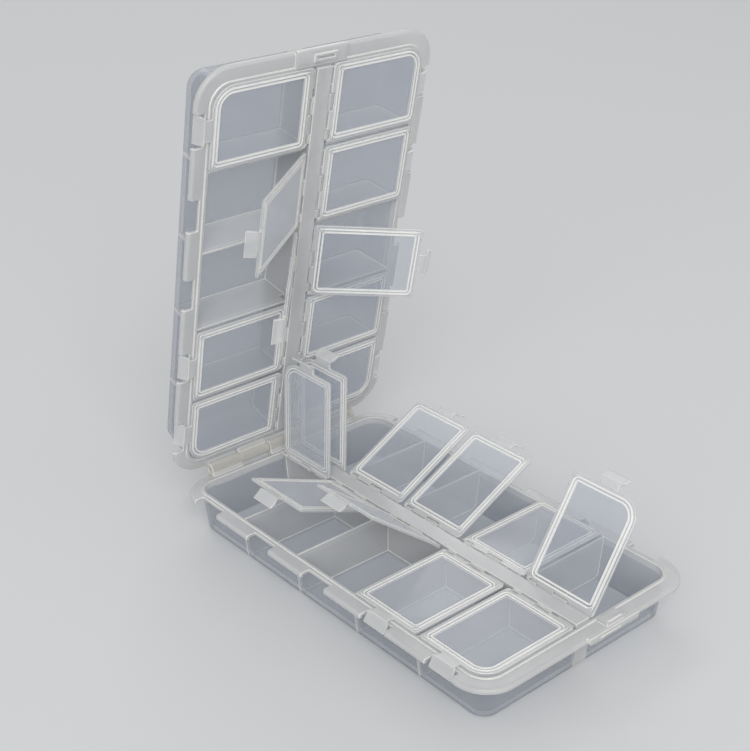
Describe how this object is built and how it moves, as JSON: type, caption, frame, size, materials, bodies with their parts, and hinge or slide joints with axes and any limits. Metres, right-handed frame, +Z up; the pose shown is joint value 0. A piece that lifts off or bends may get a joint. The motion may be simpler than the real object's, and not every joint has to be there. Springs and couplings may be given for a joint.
{
  "type": "folding tackle box",
  "caption": "Folding clear plastic tackle box: two hinged shallow trays of small compartments, each compartment with its own lid on a central spine.",
  "frame": {"origin": "middle of the lower tray's underside, on the surface that the box stands on", "axes": "+Z up, +Y from the latch end towards the fold hinge, +X across the tray, to the right seen from the latch end"},
  "size_m": [0.1244, 0.2248, 0.2234],
  "materials": {
    "tray": "clear moulded polypropylene, slightly milky",
    "spine": "milky moulded polypropylene",
    "lid": "clear moulded polypropylene",
    "pin": "drawn wire"
  },
  "bodies": {
    "lower_half": {"lower_tray": "tray", "lower_spine": "spine", "fold_pin": "pin"},
    "upper_half": {"upper_tray": "tray", "upper_spine": "spine"},
    "lower_left_lid_1": {"lower_left_lid_1": "lid"},
    "lower_left_lid_2": {"lower_left_lid_2": "lid"},
    "lower_left_lid_3": {"lower_left_lid_3": "lid"},
    "lower_left_lid_4": {"lower_left_lid_4": "lid"},
    "lower_left_lid_5": {"lower_left_lid_5": "lid"},
    "lower_right_lid_1": {"lower_right_lid_1": "lid"},
    "lower_right_lid_2": {"lower_right_lid_2": "lid"},
    "lower_right_lid_3": {"lower_right_lid_3": "lid"},
    "lower_right_lid_4": {"lower_right_lid_4": "lid"},
    "lower_right_lid_5": {"lower_right_lid_5": "lid"},
    "upper_left_lid_1": {"upper_left_lid_1": "lid"},
    "upper_left_lid_2": {"upper_left_lid_2": "lid"},
    "upper_left_lid_3": {"upper_left_lid_3": "lid"},
    "upper_left_lid_4": {"upper_left_lid_4": "lid"},
    "upper_left_lid_5": {"upper_left_lid_5": "lid"},
    "upper_right_lid_1": {"upper_right_lid_1": "lid"},
    "upper_right_lid_2": {"upper_right_lid_2": "lid"},
    "upper_right_lid_3": {"upper_right_lid_3": "lid"},
    "upper_right_lid_4": {"upper_right_lid_4": "lid"},
    "upper_right_lid_5": {"upper_right_lid_5": "lid"}
  },
  "joints": [
    {"name": "fold_hinge", "type": "hinge", "parent": "lower_half", "child": "upper_half", "pos_m": [0, 0.1014, 0.0228], "axis": [-1, 0, 0], "range_deg": [0, 102]},
    {"name": "lower_left_lid_1_hinge", "type": "hinge", "parent": "lower_half", "child": "lower_left_lid_1", "pos_m": [-0.0054, 0, 0.0212], "axis": [0, 1, 0], "range_deg": [-92, 2]},
    {"name": "lower_left_lid_2_hinge", "type": "hinge", "parent": "lower_half", "child": "lower_left_lid_2", "pos_m": [-0.0054, 0, 0.0212], "axis": [0, 1, 0], "range_deg": [-22.5, 71.5]},
    {"name": "lower_left_lid_3_hinge", "type": "hinge", "parent": "lower_half", "child": "lower_left_lid_3", "pos_m": [-0.0054, 0, 0.0212], "axis": [0, 1, 0], "range_deg": [-38, 56]},
    {"name": "lower_left_lid_4_hinge", "type": "hinge", "parent": "lower_half", "child": "lower_left_lid_4", "pos_m": [-0.0054, 0, 0.0212], "axis": [0, 1, 0], "range_deg": [0, 94]},
    {"name": "lower_left_lid_5_hinge", "type": "hinge", "parent": "lower_half", "child": "lower_left_lid_5", "pos_m": [-0.0054, 0, 0.0212], "axis": [0, 1, 0], "range_deg": [0, 94]},
    {"name": "lower_right_lid_1_hinge", "type": "hinge", "parent": "lower_half", "child": "lower_right_lid_1", "pos_m": [0.0054, 0, 0.0212], "axis": [0, -1, 0], "range_deg": [-88, 6]},
    {"name": "lower_right_lid_2_hinge", "type": "hinge", "parent": "lower_half", "child": "lower_right_lid_2", "pos_m": [0.0054, 0, 0.0212], "axis": [0, -1, 0], "range_deg": [-27.5, 66.5]},
    {"name": "lower_right_lid_3_hinge", "type": "hinge", "parent": "lower_half", "child": "lower_right_lid_3", "pos_m": [0.0054, 0, 0.0212], "axis": [0, -1, 0], "range_deg": [-26.5, 67.5]},
    {"name": "lower_right_lid_4_hinge", "type": "hinge", "parent": "lower_half", "child": "lower_right_lid_4", "pos_m": [0.0054, 0, 0.0212], "axis": [0, -1, 0], "range_deg": [0, 94]},
    {"name": "lower_right_lid_5_hinge", "type": "hinge", "parent": "lower_half", "child": "lower_right_lid_5", "pos_m": [0.0054, 0, 0.0212], "axis": [0, -1, 0], "range_deg": [-57.5, 36.5]},
    {"name": "upper_left_lid_1_hinge", "type": "hinge", "parent": "upper_half", "child": "upper_left_lid_1", "pos_m": [-0.0054, 0.08188, 0.12232], "axis": [0, -0.2079, 0.9781], "range_deg": [0, 48]},
    {"name": "upper_left_lid_2_hinge", "type": "hinge", "parent": "upper_half", "child": "upper_left_lid_2", "pos_m": [-0.0054, 0.08188, 0.12232], "axis": [0, -0.2079, 0.9781], "range_deg": [0, 65]},
    {"name": "upper_left_lid_3_hinge", "type": "hinge", "parent": "upper_half", "child": "upper_left_lid_3", "pos_m": [-0.0054, 0.08188, 0.12232], "axis": [0, -0.2079, 0.9781], "range_deg": [-48, 46]},
    {"name": "upper_left_lid_4_hinge", "type": "hinge", "parent": "upper_half", "child": "upper_left_lid_4", "pos_m": [-0.0054, 0.08188, 0.12232], "axis": [0, -0.2079, 0.9781], "range_deg": [-32.5, 61.5]},
    {"name": "upper_left_lid_5_hinge", "type": "hinge", "parent": "upper_half", "child": "upper_left_lid_5", "pos_m": [-0.0054, 0.08188, 0.12232], "axis": [0, -0.2079, 0.9781], "range_deg": [0, 94]},
    {"name": "upper_right_lid_1_hinge", "type": "hinge", "parent": "upper_half", "child": "upper_right_lid_1", "pos_m": [0.0054, 0.08188, 0.12232], "axis": [0, 0.2079, -0.9781], "range_deg": [0, 18]},
    {"name": "upper_right_lid_2_hinge", "type": "hinge", "parent": "upper_half", "child": "upper_right_lid_2", "pos_m": [0.0054, 0.08188, 0.12232], "axis": [0, 0.2079, -0.9781], "range_deg": [0, 34]},
    {"name": "upper_right_lid_3_hinge", "type": "hinge", "parent": "upper_half", "child": "upper_right_lid_3", "pos_m": [0.0054, 0.08188, 0.12232], "axis": [0, 0.2079, -0.9781], "range_deg": [-31.5, 62.5]},
    {"name": "upper_right_lid_4_hinge", "type": "hinge", "parent": "upper_half", "child": "upper_right_lid_4", "pos_m": [0.0054, 0.08188, 0.12232], "axis": [0, 0.2079, -0.9781], "range_deg": [0, 94]},
    {"name": "upper_right_lid_5_hinge", "type": "hinge", "parent": "upper_half", "child": "upper_right_lid_5", "pos_m": [0.0054, 0.08188, 0.12232], "axis": [0, 0.2079, -0.9781], "range_deg": [0, 94]}
  ]
}
